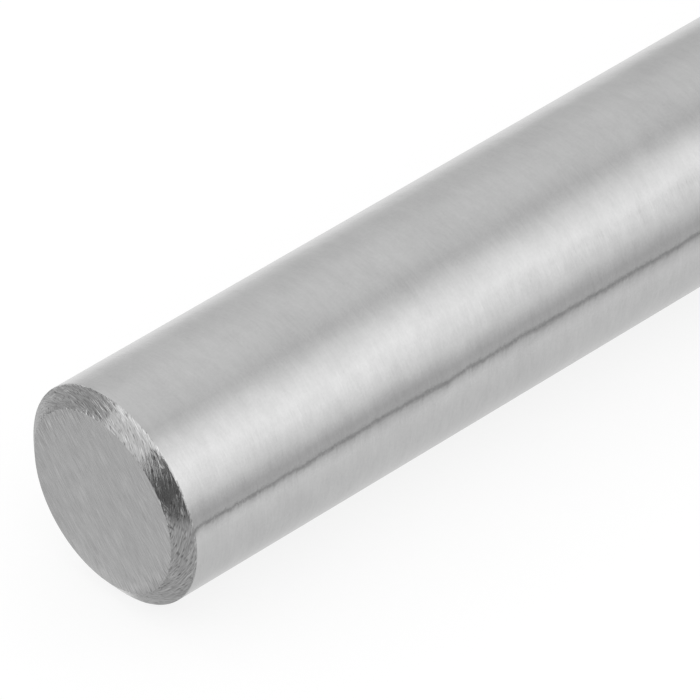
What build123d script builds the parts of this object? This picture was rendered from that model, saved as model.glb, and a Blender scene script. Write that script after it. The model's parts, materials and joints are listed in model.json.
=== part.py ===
from build123d import *

import os

# A ground round bar: one piece of bright steel stock, lying on its side.
#
# The bar lies along X on the plane Z = 0, with the origin under its middle, on the line it rests on.
# It is a true cylinder, ground all over, and both ends are cut square and faced flat. Each end is then
# dressed by hand on a belt: the chamfer is a little wider than it is deep, its section bows out where
# the bar was rolled against the belt, and the edge it leaves in the ground surface is broken slightly.
# All sizes are in millimetres.

# The bar
BAR_DIAMETER = 12.0
BAR_LENGTH = 200.0

# The dressed chamfer at each end
CHAMFER_WIDTH = 1.0  # how far the chamfer cuts into the end face, measured on the radius
CHAMFER_DEPTH = 0.8  # how far the chamfer reaches along the bar
CHAMFER_CROWN = 0.05  # how far its section bows out from a straight line
BROKEN_EDGE = 0.08  # radius of the edge between the chamfer and the ground surface

BAR_RADIUS = BAR_DIAMETER / 2
FACE_RADIUS = BAR_RADIUS - CHAMFER_WIDTH
HALF_LENGTH = BAR_LENGTH / 2
BOTH_ENDS = (-1, 1)


def end_profile(end: int) -> Vector:
    """Draw one end of the half section, from the axis to the ground surface, and give its last point."""
    face_centre = Vector(end * HALF_LENGTH, 0)
    face_rim = Vector(end * HALF_LENGTH, FACE_RADIUS)
    ground_rim = Vector(end * (HALF_LENGTH - CHAMFER_DEPTH), BAR_RADIUS)
    Line(face_centre, face_rim)
    SagittaArc(face_rim, ground_rim, -end * CHAMFER_CROWN)
    return ground_rim


def half_section() -> Face:
    """The bar's long section above its axis: the axis along X, the radius along Y."""
    with BuildSketch() as section:
        with BuildLine():
            near_rim, far_rim = (end_profile(end) for end in BOTH_ENDS)
            Line(near_rim, far_rim)
            Line((-HALF_LENGTH, 0), (HALF_LENGTH, 0))
        make_face()
        ground_corners = section.vertices().group_by(Axis.Y)[-1]
        fillet(ground_corners, BROKEN_EDGE)
    return section.face()


def round_bar() -> Solid:
    """The section turned about the bar's axis, then set down with its lowest line on Z = 0."""
    turned = revolve(half_section(), axis=Axis.X)
    return turned.solid().moved(Location((0, 0, BAR_RADIUS)))


os.makedirs("parts", exist_ok=True)
bar = round_bar()
export_step(bar, "parts/round_bar.step")
print(f"round_bar: {bar.volume:.1f} mm3, {bar.bounding_box().size}")
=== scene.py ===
# %% [markdown]
# # A ground round bar of bright steel
#
# The object is one piece of bar stock. It is a plain cylinder, so nearly all of its character is in its
# finish: fine lines ground round the bar, straight lines brushed across the flat end, and coarse marks
# from a belt on the chamfer. The lesson is about three things: cutting a chamfer by hand in edit mode,
# giving polished metal a direction with anisotropy, and lighting a mirror-like round in a studio.

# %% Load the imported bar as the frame
import json
import math

import bpy
from mathutils import Matrix, Vector, noise

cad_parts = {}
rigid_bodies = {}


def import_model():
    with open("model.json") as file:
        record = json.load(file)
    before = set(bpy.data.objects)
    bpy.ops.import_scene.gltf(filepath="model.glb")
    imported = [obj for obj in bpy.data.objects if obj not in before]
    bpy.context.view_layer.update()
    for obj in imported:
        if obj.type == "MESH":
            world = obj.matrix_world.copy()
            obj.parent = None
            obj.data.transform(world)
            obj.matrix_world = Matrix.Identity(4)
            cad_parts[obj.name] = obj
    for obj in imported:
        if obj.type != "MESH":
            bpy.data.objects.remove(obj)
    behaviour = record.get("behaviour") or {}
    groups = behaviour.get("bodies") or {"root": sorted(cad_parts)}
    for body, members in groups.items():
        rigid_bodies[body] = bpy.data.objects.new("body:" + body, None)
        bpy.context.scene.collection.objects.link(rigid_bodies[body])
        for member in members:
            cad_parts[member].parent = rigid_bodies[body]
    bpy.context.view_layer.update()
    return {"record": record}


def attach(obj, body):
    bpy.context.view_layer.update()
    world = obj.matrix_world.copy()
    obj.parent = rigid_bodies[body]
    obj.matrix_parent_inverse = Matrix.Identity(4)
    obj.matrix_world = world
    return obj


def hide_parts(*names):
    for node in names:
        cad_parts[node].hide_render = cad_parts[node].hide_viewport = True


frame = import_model()
MM = 0.001

# %% [markdown]
# ## Sizes
#
# The bar's own record says where its ground surface is and how long it is, so the radius, the axis and the
# two end planes are read from there. The chamfer's width and its slight crown are the dressed end's own
# sizes. Its depth is what the ground surface leaves at each end, less the small broken edge.

# %% Read the bar's sizes from its record
mounts = {mount["name"]: mount for mount in frame["record"]["mounts"]}
RADIUS = mounts["shank"]["dims"]["r_mm"] * MM
GROUND_LENGTH = mounts["shank"]["dims"]["length_mm"] * MM
AXIS_HEIGHT = mounts["shank"]["pos_m"][2]
NEAR_X = mounts["near_end"]["pos_m"][0]
FAR_X = mounts["far_end"]["pos_m"][0]
BAR_LENGTH = FAR_X - NEAR_X

CHAMFER_WIDTH = 1.0 * MM
CHAMFER_CROWN = 0.012 * MM
BROKEN_EDGE = 0.05 * MM
CHAMFER_DEPTH = (BAR_LENGTH - GROUND_LENGTH) / 2 - BROKEN_EDGE
FACE_RADIUS = RADIUS - CHAMFER_WIDTH
ENDS = {"near": (NEAR_X, -1), "far": (FAR_X, 1)}
print(f"bar {2 * RADIUS / MM:.1f} x {BAR_LENGTH / MM:.0f} mm, chamfer {CHAMFER_DEPTH / MM:.2f} mm deep")

# %% [markdown]
# ## The camera
#
# The bar is looked at from above its near end, through a long lens, so its sides close in only a little with
# distance. The camera is aimed at a point just over the axis and a little way in from the end. Its place
# follows from two angles and a distance counted in diameters.

# %% Set up the camera
VIEW_TURN = math.radians(-42.86)
VIEW_RISE = math.radians(39.2)
VIEW_DISTANCE = 31.62 * 2 * RADIUS
VIEW_LENS = 392.2
AIM_IN = 1.37 * 2 * RADIUS
AIM_UP = 0.035 * 2 * RADIUS
VIEW_CLIP = (0.01, 20.0)

camera_data = bpy.data.cameras.new("camera")
camera_data.lens = VIEW_LENS
camera_data.clip_start, camera_data.clip_end = VIEW_CLIP
camera = bpy.data.objects.new("camera", camera_data)
bpy.context.scene.collection.objects.link(camera)
aim = Vector((NEAR_X + AIM_IN, 0.0, AXIS_HEIGHT + AIM_UP))
towards_camera = Vector((
    math.sin(VIEW_TURN) * math.cos(VIEW_RISE),
    -math.cos(VIEW_TURN) * math.cos(VIEW_RISE),
    math.sin(VIEW_RISE),
))
camera.location = aim + towards_camera * VIEW_DISTANCE
camera.rotation_euler = (-towards_camera).to_track_quat("-Z", "Y").to_euler()
bpy.context.scene.camera = camera
bpy.context.scene.view_settings.view_transform = "Standard"
print("camera at", tuple(round(c, 4) for c in camera.location))

# %% [markdown]
# ## Small helpers for selecting
#
# Operators work on whatever is selected. A few helpers keep that under control: one clears every selection
# before a new primitive is added, one settles the new piece where it is, and one selects the vertices, edges
# or faces of a mesh by a rule about their place.

# %% Helpers for modelling with operators


def select_nothing():
    """Leave edit mode if need be, and deselect every object."""
    if bpy.context.object and bpy.context.object.mode != "OBJECT":
        bpy.ops.object.mode_set(mode="OBJECT")
    bpy.ops.object.select_all(action="DESELECT")


def settle_in_place():
    """Put the active object's place, turn and size into its mesh, so that it sits at the origin."""
    bpy.ops.object.transform_apply(location=True, rotation=True, scale=True)


def axis_radius(point):
    """How far a point is from the bar's axis."""
    return math.hypot(point.y, point.z - AXIS_HEIGHT)


def select_parts(piece, kind, rule):
    """In edit mode, select just the vertices, edges or faces (kind) whose vertices all obey the rule."""
    bpy.ops.mesh.select_mode(type=kind)
    bpy.ops.mesh.select_all(action="DESELECT")
    bpy.ops.object.mode_set(mode="OBJECT")
    mesh = piece.data
    kept = [rule(vertex.co) for vertex in mesh.vertices]
    for vertex, keep in zip(mesh.vertices, kept):
        vertex.select = keep
    for edge in mesh.edges:
        edge.select = all(kept[index] for index in edge.vertices)
    for face in mesh.polygons:
        face.select = all(kept[index] for index in face.vertices)
    bpy.ops.object.mode_set(mode="EDIT")


# %% [markdown]
# ## The bar's body
#
# A real bar is ground between wheels and then faced at its ends. Here it begins as a cylinder of the bar's
# own size. Each chamfer is cut the way a modeller would do it by hand: inset the flat end by the chamfer's
# width, then pull the outer rim back along the bar by its depth. That gives a clean cone. A cone made by a
# boolean cut would leave a messy rim, and the bevel tool can't make its two legs unequal so simply.

# %% Model the cylinder and cut both chamfers
SEGMENTS = 900
HAIR = 1e-6

select_nothing()
bpy.ops.mesh.primitive_cylinder_add(
    vertices=SEGMENTS, radius=RADIUS, depth=BAR_LENGTH, end_fill_type="NGON",
    location=((NEAR_X + FAR_X) / 2, 0.0, AXIS_HEIGHT), rotation=(0.0, math.pi / 2, 0.0),
)
bar = bpy.context.object
bar.name = "ground_bar"
bar.data.name = "ground_bar"
settle_in_place()
bpy.ops.object.mode_set(mode="EDIT")
for end_x, outwards in ENDS.values():
    select_parts(bar, "FACE", lambda co: abs(co.x - end_x) < HAIR)
    bpy.ops.mesh.inset(thickness=CHAMFER_WIDTH, depth=0.0)
    select_parts(bar, "VERT", lambda co: abs(co.x - end_x) < HAIR and axis_radius(co) > RADIUS - HAIR)
    bpy.ops.transform.translate(value=(-outwards * CHAMFER_DEPTH, 0.0, 0.0))
bpy.ops.object.mode_set(mode="OBJECT")
print("body:", len(bar.data.vertices), "vertices,", len(bar.data.polygons), "faces")

# %% [markdown]
# ## The dressed chamfer
#
# On the real bar the chamfer was rolled on a belt by hand. Its section bows out a little, and the edge
# where it meets the ground surface is broken. The cone is cut into fine rings, which give the belt marks
# something to be carved in, and a small bevel breaks the outer edge. Two spare rings on each side of the
# chamfer stay plain, so that the marks don't pull at the smooth shading of the large faces.

# %% Cut the chamfers into rings and break their outer edges
CHAMFER_RINGS = 30
EDGE_STEPS = 3
SPARE_RING = 0.15 * MM
SPARE_RINGS = 2


def chamfer_share(point):
    """How far a point is across its chamfer: 0 at the flat face's rim, 1 at the ground surface."""
    return (axis_radius(point) - FACE_RADIUS) / CHAMFER_WIDTH


def in_from_end(point):
    """How far a point is from the nearer end plane, along the bar."""
    return min(point.x - NEAR_X, FAR_X - point.x)


def weigh(piece, name, rule):
    """Add a vertex group whose weights come from a rule about each vertex's place."""
    group = piece.vertex_groups.new(name=name)
    for vertex in piece.data.vertices:
        weight = rule(vertex.co)
        if weight > 0.0:
            group.add([vertex.index], min(weight, 1.0), "REPLACE")
    return group.name


bpy.ops.object.mode_set(mode="EDIT")
bpy.ops.mesh.select_mode(type="EDGE")
bpy.ops.mesh.select_all(action="DESELECT")
bpy.ops.object.mode_set(mode="OBJECT")
for edge in bar.data.edges:
    first, second = (bar.data.vertices[index].co for index in edge.vertices)
    edge.select = abs(axis_radius(first) - axis_radius(second)) > CHAMFER_WIDTH / 2
bpy.ops.object.mode_set(mode="EDIT")
bpy.ops.mesh.subdivide(number_cuts=CHAMFER_RINGS - 1)

for end_x, outwards in ENDS.values():
    select_parts(bar, "EDGE", lambda co: axis_radius(co) > RADIUS - HAIR
                 and abs(co.x - end_x) < 2 * CHAMFER_DEPTH)
    bpy.ops.mesh.bevel(offset=BROKEN_EDGE, offset_type="OFFSET", segments=EDGE_STEPS, profile=0.5)
    select_parts(bar, "FACE", lambda co: abs(co.x - end_x) < HAIR)
    for _ in range(SPARE_RINGS):
        bpy.ops.mesh.inset(thickness=SPARE_RING, depth=0.0)
    for ring in range(1, SPARE_RINGS + 1):
        bpy.ops.mesh.select_all(action="SELECT")
        cut_x = end_x - outwards * (CHAMFER_DEPTH + BROKEN_EDGE + ring * SPARE_RING)
        bpy.ops.mesh.bisect(plane_co=(cut_x, 0.0, AXIS_HEIGHT), plane_no=(1.0, 0.0, 0.0))
bpy.ops.object.mode_set(mode="OBJECT")

print("rings cut:", len(bar.data.vertices), "vertices,", len(bar.data.polygons), "faces")

# %% [markdown]
# ### The section bows out
#
# Rolling the bar by hand leaves the chamfer slightly round in section. Over one short arc the bar was held
# flatter for a moment, and the belt touched it a second time: there the section is two facets with a ridge
# between them, and the outer one is narrow. A Displace modifier pushes the rings out, and its weights say
# how far.

# %% Bow the chamfers
RIDGE_HEIGHT = 0.032 * MM
RIDGE_SHARE = 0.80
SECOND_TOUCH = math.radians(72.0)
SECOND_TOUCH_REACH = math.radians(17.0)
SECOND_TOUCH_FADE = math.radians(6.0)


def round_angle(point):
    """The angle of a point round the bar: 0 is level on the camera's side, 90 degrees is the top."""
    return math.atan2(point.z - AXIS_HEIGHT, -point.y)


def eased(value):
    """A share held between 0 and 1, with a soft start and a soft stop."""
    value = min(max(value, 0.0), 1.0)
    return value * value * (3 - 2 * value)


def touched_twice(point):
    """1 inside the arc of the second touch, fading to 0 past its two ends."""
    past = abs(round_angle(point) - SECOND_TOUCH) - SECOND_TOUCH_REACH
    return 1 - eased(past / SECOND_TOUCH_FADE + 0.5)


def bow_weight(point):
    """How far out a point of the chamfer lies, as a share of the ridge's height."""
    if not HAIR < in_from_end(point) < CHAMFER_DEPTH:
        return 0.0
    share = chamfer_share(point)
    bow = 4 * share * (1 - share) * CHAMFER_CROWN / RIDGE_HEIGHT
    ridge = share / RIDGE_SHARE if share < RIDGE_SHARE else (1 - share) / (1 - RIDGE_SHARE)
    return bow + (ridge - bow) * touched_twice(point)


bowing = bar.modifiers.new("bowing", "DISPLACE")
bowing.strength = RIDGE_HEIGHT
bowing.mid_level = 0.0
bowing.vertex_group = weigh(bar, "bowing", bow_weight)
bpy.ops.object.modifier_apply(modifier=bowing.name)
print("bowed by", round(CHAMFER_CROWN / MM, 3), "mm, ridge", round(RIDGE_HEIGHT / MM, 3), "mm")

# %% [markdown]
# ## Which finish goes where
#
# The zones are told apart by place while the bar is still clean: the flat ends, the chamfers with their
# broken edges, and the ground round. The rim of each flat end is a real corner, so its edges are marked
# sharp, and the smooth shading stops there.

# %% Name each face's finish and mark the rims
FINISH_NAMES = ["ground_round", "belt_dressed", "brushed_face"]
SQUARE_ON = 0.999


def is_end_face(face):
    """True for a face that lies flat in one of the end planes."""
    return abs(face.normal.x) > SQUARE_ON and in_from_end(face.center) < HAIR


def finish_of(face):
    """Which finish a face of the bar has, by its place."""
    if is_end_face(face):
        return "brushed_face"
    if in_from_end(face.center) < CHAMFER_DEPTH + BROKEN_EDGE / 2:
        return "belt_dressed"
    return "ground_round"


def on_rim(point):
    """True for a point on the rim of a flat end."""
    return in_from_end(point) < HAIR and abs(axis_radius(point) - FACE_RADIUS) < HAIR


face_finishes = [finish_of(face) for face in bar.data.polygons]
bpy.ops.object.shade_smooth()
for edge in bar.data.edges:
    edge.use_edge_sharp = all(on_rim(bar.data.vertices[index].co) for index in edge.vertices)
print("faces:", {name: face_finishes.count(name) for name in FINISH_NAMES})

# %% [markdown]
# ## A map that follows the grinding
#
# Grinding has a direction, so the bar gets a UV map that runs with it, in millimetres: U goes across the
# lines and V goes along them. On the round and on the chamfers V runs round the bar. On the flat ends the
# lines are straight and lean over, so there V is a plain direction in the face.

# %% Lay the map on the bar
BRUSH_LEAN = math.radians(42.0)


def across_and_along_brush(point):
    """Where a point of a flat end lies across and along its brushed lines."""
    y, z = point.y, point.z - AXIS_HEIGHT
    across = z * math.cos(BRUSH_LEAN) - y * math.sin(BRUSH_LEAN)
    along = y * math.cos(BRUSH_LEAN) + z * math.sin(BRUSH_LEAN)
    return across, along


def along_and_round(point):
    """Where a point of the round lies along the bar and round it."""
    return point.x, math.atan2(point.y, point.z - AXIS_HEIGHT) * RADIUS


def section_and_round(point):
    """Where a point of a chamfer lies on the way from the flat face out to the round, and round the bar."""
    return in_from_end(point) + axis_radius(point), math.atan2(point.y, point.z - AXIS_HEIGHT) * RADIUS


PLACES = {"ground_round": along_and_round, "belt_dressed": section_and_round,
          "brushed_face": across_and_along_brush}


def lay_grinding_map(piece, name):
    """Give the piece its map, keeping the faces that cross the seam under the bar whole."""
    layer = piece.data.uv_layers.new(name=name)
    full_turn = 2 * math.pi * RADIUS
    for face, finish in zip(piece.data.polygons, face_finishes):
        places = [PLACES[finish](piece.data.vertices[index].co) for index in face.vertices]
        along_range = max(along for _, along in places) - min(along for _, along in places)
        crosses_seam = finish != "brushed_face" and along_range > full_turn / 2
        for loop, (across, along) in zip(face.loop_indices, places):
            if crosses_seam and along < 0:
                along += full_turn
            layer.data[loop].uv = (across / MM, along / MM)


lay_grinding_map(bar, "grinding")
print("map:", bar.data.uv_layers.active.name)

# %% [markdown]
# ## Belt marks carved in the chamfers
#
# The belt left crossing scratches, about a fifth of a millimetre wide and two or three millimetres long.
# They are carved in the mesh, because they nick the chamfer's two rims, and a bump map can't move an
# outline. Each direction of the belt is one Displace modifier. Its texture is stretched by a map of its own,
# which is the grinding map turned a little and measured in marks instead of millimetres. Stretched Voronoi
# cells look like single strokes of the belt, and stretched clouds blur them into one another.

# %% Carve the marks
BELT_PASSES = {
    # name: (texture, turn in degrees, mark width in mm, mark length in mm, depth in mm)
    "belt_main": ("VORONOI", 21.0, 0.17, 3.2, 0.011),
    "belt_return": ("CLOUDS", 6.0, 0.22, 2.2, 0.006),
}
UNCUT_TONE = 0.6  # the tone of the texture that leaves the steel where it is
SMOOTHED_SHARE = 0.68  # how much of the marks the second touch took away
MAP_SPAN = 2  # a texture on a map reads it from -1 to 1, so one unit of the map is two of the texture


def turned_map(piece, name, turn, width, length):
    """Add a map that is the grinding map turned, and counted in the texture's marks across and along."""
    source = piece.data.uv_layers["grinding"]
    layer = piece.data.uv_layers.new(name=name)
    cos, sin = math.cos(math.radians(turn)), math.sin(math.radians(turn))
    for source_loop, loop in zip(source.data, layer.data):
        across, along = source_loop.uv
        turned_across, turned_along = across * cos - along * sin, along * cos + across * sin
        loop.uv = (turned_across / (MAP_SPAN * width), turned_along / (MAP_SPAN * length))


def chamfer_weight(point):
    """1 on a chamfer between its two rims and 0 elsewhere; less where the second touch smoothed it."""
    if axis_radius(point) < FACE_RADIUS + HAIR or in_from_end(point) > CHAMFER_DEPTH:
        return 0.0
    return 1.0 - SMOOTHED_SHARE * touched_twice(point)


relief = weigh(bar, "relief", chamfer_weight)
for name, (pattern, turn, width, length, depth) in BELT_PASSES.items():
    turned_map(bar, name, turn, width, length)
    marks = bpy.data.textures.new(name, pattern)
    marks.noise_scale = 1.0
    carve = bar.modifiers.new(name, "DISPLACE")
    carve.texture = marks
    carve.texture_coords = "UV"
    carve.uv_layer = name
    carve.vertex_group = relief
    carve.strength = depth * MM
    carve.mid_level = UNCUT_TONE
    bpy.ops.object.modifier_apply(modifier=carve.name)
    bar.data.uv_layers.remove(bar.data.uv_layers[name])
print("carved:", list(BELT_PASSES))

# %% [markdown]
# ### A broken line inside the ground edge
#
# The belt's own edge caught the steel just inside the ground edge and left a fine line there. It comes and
# goes, and wanders a little. It is a row of short nicks, pressed in by one more Displace modifier.

# %% Press in the line
LINE_SHARE = 0.76
LINE_WANDER = 0.12
LINE_HALF_WIDTH = 0.06
LINE_DEPTH = 0.018 * MM
NICK_LENGTH = 0.70 * MM
NICK_EDGE = 4  # how abruptly a nick starts and stops
WANDER_LENGTH = 2.0 * MM
WANDER_ROW, NICK_ROW = 3.0, 8.0  # two rows of the noise that have nothing to do with each other


def line_weight(point):
    """How deep the line is here: it fades to both sides, and stops and starts along the way."""
    if not HAIR < in_from_end(point) < CHAMFER_DEPTH:
        return 0.0
    along = round_angle(point) * RADIUS
    end_row = point.x / abs(point.x)
    wander = noise.noise(Vector((along / WANDER_LENGTH, WANDER_ROW, end_row)))
    off_line = abs(chamfer_share(point) - LINE_SHARE - LINE_WANDER * wander) / LINE_HALF_WIDTH
    nick = noise.noise(Vector((along / NICK_LENGTH, NICK_ROW, end_row)))
    return eased(1 - off_line) * eased(nick * NICK_EDGE)


line = bar.modifiers.new("line", "DISPLACE")
line.strength = -LINE_DEPTH
line.mid_level = 0.0
line.vertex_group = weigh(bar, "line", line_weight)
bpy.ops.object.modifier_apply(modifier=line.name)
print("line pressed in, up to", round(LINE_DEPTH / MM, 3), "mm")

# %% [markdown]
# ### Teeth along the rim
#
# Where the brushed lines of the flat end run out over the rim, each line bites a small tooth in it. A Cast
# modifier pulls the rim towards a slightly smaller cylinder, and its weights are a noise that changes across
# the lines and hardly along them. An empty gives the modifier the bar's axis, and goes again afterwards.

# %% Bite the teeth
TOOTH_DEPTH = 0.09 * MM
TOOTH_WIDTH = 0.14 * MM
TOOTH_REACH = 0.30
TOOTH_BIAS, TOOTH_GAIN = 0.1, 1.6  # how often a line bites, and how fully


def tooth_weight(point):
    """How far the rim is bitten here: most where the brushed lines meet the rim squarely."""
    share = chamfer_share(point)
    if in_from_end(point) > CHAMFER_DEPTH or share < -HAIR or share > TOOTH_REACH:
        return 0.0
    across, along = across_and_along_brush(point)
    line = noise.noise(Vector((across / TOOTH_WIDTH, along / (4 * RADIUS), 0.0)))
    squarely = abs(along) / axis_radius(point)
    strength = max(0.0, line + TOOTH_BIAS) * TOOTH_GAIN
    bite_here = TOOTH_DEPTH * strength * squarely * (1 - share / TOOTH_REACH)
    return bite_here / (axis_radius(point) - FACE_RADIUS + TOOTH_DEPTH)


select_nothing()
bpy.ops.object.empty_add(location=(0.0, 0.0, AXIS_HEIGHT), rotation=(0.0, math.pi / 2, 0.0))
axis_guide = bpy.context.object
select_nothing()
bpy.context.view_layer.objects.active = bar
bar.select_set(True)
bite = bar.modifiers.new("teeth", "CAST")
bite.cast_type = "CYLINDER"
bite.object = axis_guide
bite.use_transform = True
bite.use_z = False
bite.use_radius_as_size = False
bite.radius = 0.0
bite.size = FACE_RADIUS - TOOTH_DEPTH
bite.factor = 1.0
bite.vertex_group = weigh(bar, "teeth", tooth_weight)
bpy.ops.object.modifier_apply(modifier=bite.name)
bar.vertex_groups.clear()
bpy.data.objects.remove(axis_guide)
print("teeth bitten up to", round(TOOTH_DEPTH / MM, 2), "mm")

# %% [markdown]
# ## Three finishes of one steel
#
# All three are the same bright, neutral steel. What differs is the size and the direction of the lines in
# it. One function makes each finish from a list of line layers: every layer is a noise stretched along the
# lines, and it changes the steel's tone and its relief a little. The highlight is drawn out across the
# lines, as on any brushed metal: the anisotropy takes that direction from the map.

# %% Helpers for the finishes
STEEL = 0.53


def math_node(nodes, links, operation, *values):
    """A math node whose inputs are numbers or outputs of other nodes."""
    node = nodes.new("ShaderNodeMath")
    node.operation = operation
    for socket, value in zip(node.inputs, values):
        if isinstance(value, (int, float)):
            socket.default_value = value
        else:
            links.new(value, socket)
    return node.outputs["Value"]


def spread(nodes, links, value, low, high, from_low=0.0, from_high=1.0, smooth=False):
    """Map a value from one range to another, held at both ends."""
    node = nodes.new("ShaderNodeMapRange")
    node.interpolation_type = "SMOOTHSTEP" if smooth else "LINEAR"
    ends = {"From Min": from_low, "From Max": from_high, "To Min": low, "To Max": high}
    for name, number in ends.items():
        node.inputs[name].default_value = number
    links.new(value, node.inputs["Value"])
    return node.outputs["Result"]


NOISE_SPANS = {
    # kind: (the noise from, to, and the marks from, to)
    "even": (0.3, 0.7, -1.0, 1.0),
    "run_out": (0.3, 0.7, -1.0, 1.0),
    "sparse": (0.56, 0.80, 0.0, 2.0),
}
RUN_OUT_FROM, RUN_OUT_TO = 3.3, 4.8  # mm along the lines from the middle of the flat end
SEED_STEP = 7.0


def lines_noise(nodes, links, place, kind, across, along, turn, detail, seed):
    """A noise whose marks measure across by along: even, in sparse strokes, or only where lines run out."""
    mapping = nodes.new("ShaderNodeMapping")
    mapping.vector_type = "POINT"
    mapping.inputs["Location"].default_value = (seed, 2.0 * seed, 0.0)
    mapping.inputs["Scale"].default_value = (1.0 / across, 1.0 / along, 1.0 / along)
    turned = nodes.new("ShaderNodeMapping")
    turned.inputs["Rotation"].default_value = (0.0, 0.0, math.radians(turn))
    pattern = nodes.new("ShaderNodeTexNoise")
    pattern.inputs["Scale"].default_value = 1.0
    pattern.inputs["Detail"].default_value = detail
    links.new(place, turned.inputs["Vector"])
    links.new(turned.outputs["Vector"], mapping.inputs["Vector"])
    links.new(mapping.outputs["Vector"], pattern.inputs["Vector"])
    from_low, from_high, low, high = NOISE_SPANS[kind]
    marks = spread(nodes, links, pattern.outputs["Fac"], low, high, from_low, from_high)
    if kind != "run_out":
        return marks
    parts = nodes.new("ShaderNodeSeparateXYZ")
    links.new(place, parts.inputs["Vector"])
    from_middle = math_node(nodes, links, "ABSOLUTE", parts.outputs["Y"])
    near_rim = spread(nodes, links, from_middle, 0.0, 1.0, RUN_OUT_FROM, RUN_OUT_TO, smooth=True)
    return math_node(nodes, links, "MULTIPLY", marks, near_rim)


def steel_finish(name, roughness, anisotropy, place_kind, layers):
    """A steel with its layers of lines; each is (kind, across, along, turn, detail, tone, depth in mm)."""
    finish = bpy.data.materials.new(name)
    finish.use_nodes = True
    nodes, links = finish.node_tree.nodes, finish.node_tree.links
    metal = nodes["Principled BSDF"]
    metal.inputs["Metallic"].default_value = 1.0
    metal.inputs["Roughness"].default_value = roughness
    metal.inputs["Anisotropic"].default_value = anisotropy
    across_the_lines = nodes.new("ShaderNodeTangent")
    across_the_lines.direction_type = "UV_MAP"
    across_the_lines.uv_map = "grinding"
    links.new(across_the_lines.outputs["Tangent"], metal.inputs["Tangent"])
    if place_kind == "map":
        place_node = nodes.new("ShaderNodeUVMap")
        place_node.uv_map = "grinding"
        place = place_node.outputs["UV"]
    else:
        place = nodes.new("ShaderNodeTexCoord").outputs["Object"]
    steel_tone, normal = STEEL, None
    for number, (kind, across, along, turn, detail, tone, depth) in enumerate(layers):
        seed = SEED_STEP * number
        pattern = lines_noise(nodes, links, place, kind, across, along, turn, detail, seed)
        steel_tone = math_node(nodes, links, "MULTIPLY_ADD", pattern, STEEL * tone, steel_tone)
        bump = nodes.new("ShaderNodeBump")
        bump.inputs["Distance"].default_value = depth * MM
        links.new(pattern, bump.inputs["Height"])
        if normal is not None:
            links.new(normal, bump.inputs["Normal"])
        normal = bump.outputs["Normal"]
    links.new(steel_tone, metal.inputs["Base Color"])
    links.new(normal, metal.inputs["Normal"])
    return finish


# %% [markdown]
# ### The layers of lines
#
# - The ground round has hair-fine rings, wider wheel lines, and a faint unevenness over a few millimetres,
#   where the wheel pressed now more and now less. It reads its place on the object itself, in metres.
# - The chamfer has the belt's two directions once more, finer than they are carved, and a few single
#   scratches over them, some deep and bright, with real relief and a painted glint in their lighter
#   tone, and some short and dull.
# - The flat end is brushed straight, in fine and in broad strokes, and the strokes are deepest where they
#   run out over the rim. The chamfer and the flat end read the grinding map, in millimetres.

# %% Make the three finishes
FINISHES = {
    "ground_round": steel_finish("ground_round", 0.14, 1.0, "object", [
        ("even", 0.06 * MM, 0.9 * MM, 0.0, 2.0, 0.018, 0.0006),
        ("even", 0.13 * MM, 0.15 * MM, 0.0, 1.0, 0.020, 0.0004),
        ("even", 0.12 * MM, 0.6 * MM, 0.0, 1.0, 0.014, 0.0008),
        ("even", 0.45 * MM, 1.5 * MM, 0.0, 1.0, 0.020, 0.0018),
        ("even", 1.30 * MM, 2.0 * MM, 0.0, 1.0, 0.018, 0.0045),
        ("even", 4.00 * MM, 3.0 * MM, 0.0, 1.0, 0.022, 0.0090),
    ]),
    "belt_dressed": steel_finish("belt_dressed", 0.15, 0.7, "map", [
        ("even", 0.055, 1.8, 22.0, 2.0, 0.20, 0.0011),
        ("even", 0.11, 1.4, 8.0, 1.0, 0.12, 0.0012),
        # deep scratches: a real bump, and a lighter tone that is a painted glint
        ("sparse", 0.06, 1.1, 25.0, 0.0, 0.20, 0.0016),
        ("sparse", 0.08, 0.4, 33.0, 0.0, -0.24, 0.0010),
    ]),
    "brushed_face": steel_finish("brushed_face", 0.24, 0.8, "map", [
        ("even", 0.045, 0.7, 0.0, 2.5, 0.11, 0.0009),
        ("even", 0.10, 1.2, 6.0, 1.5, 0.05, 0.0004),
        ("even", 0.35, 1.5, -6.0, 1.0, 0.03, 0.0006),
        ("sparse", 0.05, 1.4, 9.0, 0.0, 0.10, 0.0004),
        ("run_out", 0.12, 0.8, 8.0, 1.0, 0.24, 0.0035),
        ("even", 1.20, 1.8, 0.0, 1.0, 0.03, 0.0020),
    ]),
}
for name in FINISH_NAMES:
    bar.data.materials.append(FINISHES[name])
for face, name in zip(bar.data.polygons, face_finishes):
    face.material_index = FINISH_NAMES.index(name)
print("finishes:", [material.name for material in bar.data.materials])

# %% [markdown]
# ## The studio
#
# Polished metal shows its surroundings more than itself, so the studio does half of the work. The room is
# plain white, and so is the floor, which keeps a soft shadow. The floor's own glow lights nothing: it only
# shows. Mirrors alone see the rest: a tent of lit sheet arches over the bar, and cards give the dark tones.

# %% Build the floor and the white room
FLOOR_SIZE = 8.0
FLOOR_DROP = 0.02 * MM
FLOOR_GLOW = 0.80
MIRRORED_GLOW = 0.755
FLOOR_SHADE = 0.22


def glow_material(name):
    """A new material with an empty tree and an output; its glow lights nothing by itself."""
    material = bpy.data.materials.new(name)
    material.use_nodes = True
    material.cycles.emission_sampling = "NONE"
    nodes, links = material.node_tree.nodes, material.node_tree.links
    nodes.clear()
    output = nodes.new("ShaderNodeOutputMaterial")
    return material, nodes, links, output.inputs["Surface"]


def floor_glow(nodes, links):
    """How strongly the floor glows, for each kind of ray: from the camera, off metal or through glass."""
    rays = nodes.new("ShaderNodeLightPath").outputs
    seen = math_node(nodes, links, "MAXIMUM", rays["Is Camera Ray"], rays["Is Transmission Ray"])
    seen_glow = math_node(nodes, links, "MULTIPLY", seen, FLOOR_GLOW)
    return math_node(nodes, links, "MULTIPLY_ADD", rays["Is Glossy Ray"], MIRRORED_GLOW, seen_glow)


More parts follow.
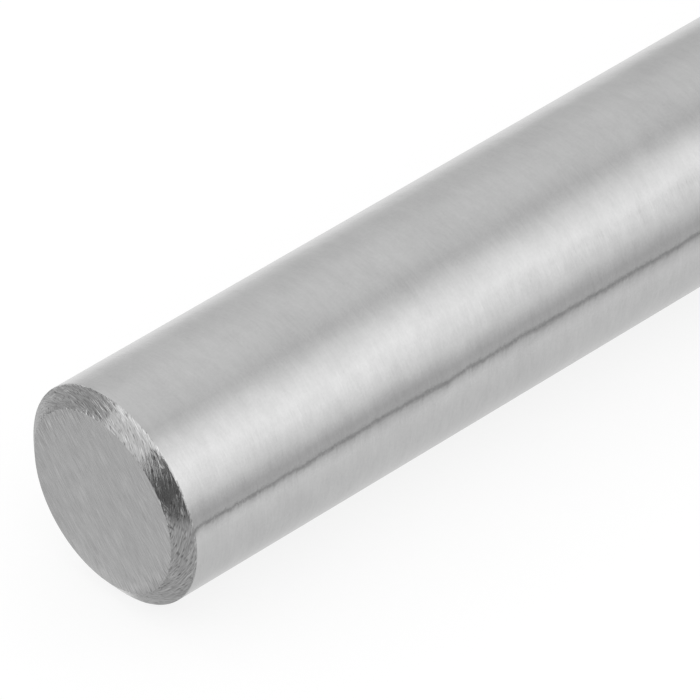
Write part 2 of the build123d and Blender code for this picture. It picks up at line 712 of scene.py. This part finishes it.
def floor_material():
    """White paper that still takes the bar's shadow."""
    material, nodes, links, surface = glow_material("white_paper")
    paper = nodes.new("ShaderNodeBsdfDiffuse")
    paper.inputs["Color"].default_value = (FLOOR_SHADE, FLOOR_SHADE, FLOOR_SHADE, 1.0)
    glow = nodes.new("ShaderNodeEmission")
    both = nodes.new("ShaderNodeAddShader")
    links.new(floor_glow(nodes, links), glow.inputs["Strength"])
    links.new(paper.outputs["BSDF"], both.inputs[0])
    links.new(glow.outputs["Emission"], both.inputs[1])
    links.new(both.outputs["Shader"], surface)
    return material


select_nothing()
bpy.ops.mesh.primitive_plane_add(size=FLOOR_SIZE, location=(0.0, 0.0, -FLOOR_DROP))
floor = bpy.context.object
floor.name = "paper_floor"
settle_in_place()
floor.data.materials.append(floor_material())

room = bpy.data.worlds.new("white_room")
room.use_nodes = True
room.node_tree.nodes["Background"].inputs["Color"].default_value = (1.0, 1.0, 1.0, 1.0)
room.node_tree.nodes["Background"].inputs["Strength"].default_value = 1.0
bpy.context.scene.world = room
print("white floor and room")

# %% [markdown]
# ## The tent
#
# The tent is half a tube round the bar's own axis, so each line along the bar mirrors one line along the
# tent. Its glow is set by angle, from the camera's side over the top to the back: bright where the sheet is
# lit from outside, and darker along the seam at the top. Past the bar's far end it is a little weaker.

# %% Hang the tent
TENT_RADIUS = 0.30
TENT_LENGTH = 1.0
TENT_SIDES = 96
TENT_FADE = (0.10, 0.14)
TENT_FAR_SHARE = 0.92
TENT_STOPS = [
    # (angle over the bar in degrees, glow): 0 is level on the camera's side, 180 level at the back
    (-2, 0.88), (12, 1.14), (24, 1.40), (38, 1.47), (52, 1.33), (64, 1.12), (74, 0.92), (83, 0.82),
    (94, 0.90), (112, 0.96), (134, 0.95), (152, 0.86), (172, 0.80), (182, 0.84),
]


def hide_from_all_but_mirrors(card):
    """Let only reflections see a card: it throws no shadow and stands in nobody's way."""
    card.visible_camera = False
    card.visible_diffuse = False
    card.visible_shadow = False
    card.visible_transmission = False
    card.visible_volume_scatter = False


def stops_ramp(nodes, links, share, stops):
    """A colour ramp over a share from 0 to 1, with a glow and a cover at each stop."""
    ramp = nodes.new("ShaderNodeValToRGB")
    elements = ramp.color_ramp.elements
    while len(elements) < len(stops):
        elements.new(0.5)
    for element, (position, glow, cover) in zip(elements, stops):
        element.position = position
        element.color = (glow, glow, glow, cover)
    links.new(share, ramp.inputs["Fac"])
    return ramp.outputs["Color"], ramp.outputs["Alpha"]


def tent_material():
    """A glow that is read off by the angle round the bar's axis."""
    material, nodes, links, surface = glow_material("lit_sheet")
    place = nodes.new("ShaderNodeSeparateXYZ")
    links.new(nodes.new("ShaderNodeNewGeometry").outputs["Position"], place.inputs["Vector"])
    height = math_node(nodes, links, "SUBTRACT", place.outputs["Z"], AXIS_HEIGHT)
    towards_viewer = math_node(nodes, links, "MULTIPLY", place.outputs["Y"], -1.0)
    angle = math_node(nodes, links, "ARCTAN2", height, towards_viewer)
    first, last = TENT_STOPS[0][0], TENT_STOPS[-1][0]
    share = spread(nodes, links, angle, 0.0, 1.0, math.radians(first), math.radians(last))
    stops = [((degrees - first) / (last - first), glow, 1.0) for degrees, glow in TENT_STOPS]
    glow = nodes.new("ShaderNodeEmission")
    links.new(stops_ramp(nodes, links, share, stops)[0], glow.inputs["Color"])
    links.new(spread(nodes, links, place.outputs["X"], 1.0, TENT_FAR_SHARE, *TENT_FADE, smooth=True),
              glow.inputs["Strength"])
    links.new(glow.outputs["Emission"], surface)
    return material


select_nothing()
bpy.ops.mesh.primitive_cylinder_add(
    vertices=TENT_SIDES, radius=TENT_RADIUS, depth=TENT_LENGTH, end_fill_type="NOTHING",
    location=(0.0, 0.0, AXIS_HEIGHT), rotation=(0.0, math.pi / 2, 0.0),
)
tent = bpy.context.object
tent.name = "light_tent"
settle_in_place()
bpy.ops.object.mode_set(mode="EDIT")
bpy.ops.mesh.select_all(action="SELECT")
bpy.ops.mesh.bisect(plane_co=(0.0, 0.0, 0.0), plane_no=(0.0, 0.0, 1.0), clear_inner=True)
bpy.ops.object.mode_set(mode="OBJECT")
tent.data.materials.append(tent_material())
hide_from_all_but_mirrors(tent)
print("tent hung, radius", TENT_RADIUS)

# %% [markdown]
# ## The cards
#
# A card is a plane whose glow and cover follow stops from its foot to its head, with soft sides. Where its
# cover is below 1 it is partly clear. A low step runs along the bar on the camera's side, and draws the
# dark line along it, and flat shades on the floor tone the bar's lower half. At each end stand a pale wall,
# a dark one and a grey one, with a lamp over them, and mats lie on the floor before the end. The wide and
# the mid mat are painted shadow, the bar's own shadow on the floor round its end. They give the
# chamfer its bright, dark and middle tones and quieten the flat end.

# %% Set out the cards


def card_material(name, stops, soft_sides):
    """A card's glow and cover, by its own map: V runs from foot to head, U from side to side."""
    material, nodes, links, surface = glow_material(name)
    place = nodes.new("ShaderNodeSeparateXYZ")
    links.new(nodes.new("ShaderNodeTexCoord").outputs["UV"], place.inputs["Vector"])
    colour, cover = stops_ramp(nodes, links, place.outputs["Y"], stops)
    for far_side in (0.0, 1.0):
        inwards = soft_sides if far_side == 0.0 else 1.0 - soft_sides
        fade = spread(nodes, links, place.outputs["X"], 0.0, 1.0, far_side, inwards, smooth=True)
        cover = math_node(nodes, links, "MULTIPLY", cover, fade)
    glow = nodes.new("ShaderNodeEmission")
    clear = nodes.new("ShaderNodeBsdfTransparent")
    mix = nodes.new("ShaderNodeMixShader")
    links.new(colour, glow.inputs["Color"])
    links.new(cover, mix.inputs["Fac"])
    links.new(clear.outputs["BSDF"], mix.inputs[1])
    links.new(glow.outputs["Emission"], mix.inputs[2])
    links.new(mix.outputs["Shader"], surface)
    return material


def add_card(name, foot, up, facing, width, height, stops, soft_sides=0.15):
    """Add a card from the middle of its foot, with the way up it and the way it faces."""
    up, facing = Vector(up).normalized(), Vector(facing).normalized()
    turn = Matrix((up.cross(facing), up, facing)).transposed().to_euler()
    select_nothing()
    bpy.ops.mesh.primitive_plane_add(size=1.0, location=Vector(foot) + up * height / 2, rotation=turn)
    card = bpy.context.object
    card.name = name
    card.scale = (width, height, 1.0)
    settle_in_place()
    card.data.materials.append(card_material(name, stops, soft_sides))
    hide_from_all_but_mirrors(card)
    return card


UPWARDS = (0.0, 0.0, 1.0)
CARD_LIFT = 0.1 * MM
STEP_FOOT = (NEAR_X + 20.0 * MM, -24.3 * MM, CARD_LIFT)
STEP_TURN = math.radians(9.0)
STEP_LENGTH = 180.0 * MM
STEP_HEIGHT = 12.3 * MM
STEP_SHIFT = 20.0 * MM
STEP_STOPS = [
    # (share of the way from foot to head, glow, cover), as for every card
    (0.0, 0.20, 1.0), (0.045, 0.26, 1.0), (0.085, 0.81, 1.0), (0.12, 0.69, 1.0), (0.24, 0.65, 1.0),
    (0.37, 0.64, 1.0), (0.50, 0.745, 1.0), (0.62, 0.83, 1.0), (0.75, 0.95, 1.0), (0.87, 1.04, 1.0),
    (1.0, 1.13, 0.0),
]
SHADE_WIDTH = 11.0 * MM
SHADE_STOPS = [
    (0.0, 0.24, 1.0), (0.08, 0.48, 1.0), (0.28, 0.70, 1.0), (0.43, 0.80, 1.0), (0.60, 0.87, 1.0),
    (0.84, 0.95, 0.6), (1.0, 0.97, 0.0),
]
SHADE_SOFT_SIDES = 0.1
along_step = Vector((math.cos(STEP_TURN), math.sin(STEP_TURN), 0.0))
from_step = Vector((-math.sin(STEP_TURN), math.cos(STEP_TURN), 0.0))
step_middle = Vector(STEP_FOOT) + along_step * STEP_SHIFT
add_card("low_step", step_middle, UPWARDS, from_step, STEP_LENGTH, STEP_HEIGHT,
         STEP_STOPS, SHADE_SOFT_SIDES)
add_card("step_shade", step_middle, from_step, UPWARDS, STEP_LENGTH, SHADE_WIDTH,
         SHADE_STOPS, SHADE_SOFT_SIDES)

FAR_SHADE_FOOT = (0.1, 40.0 * MM, CARD_LIFT)
FAR_SHADE_LENGTH, FAR_SHADE_WIDTH = 0.8, 0.28
FAR_SHADE_STOPS = [(0.0, 0.86, 0.0), (0.15, 0.86, 1.0), (0.9, 0.86, 1.0), (1.0, 0.86, 0.0)]
add_card("far_shade", FAR_SHADE_FOOT, (0.0, 1.0, 0.0), UPWARDS, FAR_SHADE_LENGTH, FAR_SHADE_WIDTH,
         FAR_SHADE_STOPS, SHADE_SOFT_SIDES)
NEAR_SHADE_FOOT = (0.0, -3.0 * MM, CARD_LIFT / 2)
NEAR_SHADE_LENGTH, NEAR_SHADE_WIDTH = 0.3, 12.0 * MM
NEAR_SHADE_STOPS = [(0.0, 0.77, 1.0), (0.3, 0.82, 0.9), (1.0, 0.9, 0.0)]
add_card("near_shade", NEAR_SHADE_FOOT, (0.0, -1.0, 0.0), UPWARDS, NEAR_SHADE_LENGTH, NEAR_SHADE_WIDTH,
         NEAR_SHADE_STOPS, SHADE_SOFT_SIDES)

END_WALLS = {
    # name: (turn of its middle, width, rise of its foot, rise of its head, all in degrees;
    # then its soft sides and its stops)
    "pale_wall": (-16.0, 50.0, -3.0, 36.0, 0.06, [(0.0, 0.90, 1.0), (0.9, 0.90, 1.0), (1.0, 0.90, 0.0)]),
    "dark_wall": (27.0, 64.0, -3.0, 28.0, 0.12, [
        (0.0, 0.14, 1.0), (0.48, 0.15, 1.0), (0.73, 0.18, 1.0), (0.87, 0.31, 1.0), (1.0, 0.70, 0.0),
    ]),
    "grey_wall": (-57.0, 56.0, -3.0, 30.0, 0.25, [(0.0, 0.45, 1.0), (0.92, 0.45, 1.0), (1.0, 0.45, 0.0)]),
    "top_lamp": (-5.0, 90.0, 34.0, 56.0, 0.06, [(0.0, 1.35, 0.0), (0.2, 1.35, 1.0), (1.0, 1.35, 1.0)]),
}
END_MATS = {
    # name: (turn, from, to, left side, right side, soft edge, all but the turn in mm, and the glow);
    # each lies a little above the one before
    # the wide and the mid mat are painted shadow: the bar's own shadow on the floor round its end
    "wide_mat": (0.0, 0.2, 24.0, -36.0, 26.0, 1.0, 0.68),
    "mid_mat": (0.0, -2.5, 24.0, 0.8, 26.0, 1.0, 0.52),
    "dark_mat": (30.0, 19.0, 200.0, -55.0, 55.0, 13.0, 0.13),
    "side_mat": (-90.0, 10.0, 150.0, 0.0, 60.0, 5.0, 0.50),
    "beside_mat": (-90.0, 4.0, 40.0, -9.0, 1.0, 2.0, 0.60),
}
WALL_AWAY = 0.20
WALL_GAP = 2.0 * MM  # each wall stands this much nearer to the bar than the one before
MAT_SOFT_SIDES = 0.05
MAT_FADE_FROM = 0.9


def outwards_at(turn, outwards):
    """A level direction out from an end: turn 0 goes along the bar, positive to the camera's side."""
    turn = math.radians(turn)
    return Vector((outwards * math.cos(turn), outwards * math.sin(turn), 0.0))


def wall_height(rise):
    """How high on a wall a look from the middle of an end arrives, when it rises by so many degrees."""
    return AXIS_HEIGHT + WALL_AWAY * math.tan(math.radians(rise))


for end, (end_x, outwards) in ENDS.items():
    end_foot = Vector((end_x, 0.0, CARD_LIFT))
    for number, (name, wall) in enumerate(END_WALLS.items()):
        turn, degrees_wide, foot_rise, head_rise, soft_sides, stops = wall
        way = outwards_at(turn, outwards)
        width = 2 * WALL_AWAY * math.tan(math.radians(degrees_wide / 2))
        bottom, top = wall_height(foot_rise), wall_height(head_rise)
        foot = end_foot + way * (WALL_AWAY - WALL_GAP * number) + Vector(UPWARDS) * bottom
        add_card(f"{end}_{name}", foot, UPWARDS, -way, width, top - bottom, stops, soft_sides)
    for number, (name, (turn, start, stop, left, right, soft, glow)) in enumerate(END_MATS.items(), 1):
        way, sideways = outwards_at(turn, outwards), outwards_at(turn + 90.0, outwards)
        foot = end_foot + (way * start + sideways * (left + right) / 2) * MM
        foot += Vector(UPWARDS) * CARD_LIFT * number
        width, length = (right - left) * MM, (stop - start) * MM
        stops = [(0.0, glow, 0.0), (soft / (stop - start), glow, 1.0), (MAT_FADE_FROM, glow, 1.0),
                 (1.0, glow, 0.0)]
        add_card(f"{end}_{name}", foot, way, UPWARDS, width, length, stops, MAT_SOFT_SIDES)
print("cards:", ["low_step", "step_shade", "far_shade", "near_shade", *END_WALLS, *END_MATS])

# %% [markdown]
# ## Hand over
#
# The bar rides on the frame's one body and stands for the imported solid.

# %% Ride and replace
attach(bar, "root")
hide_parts("round_bar")
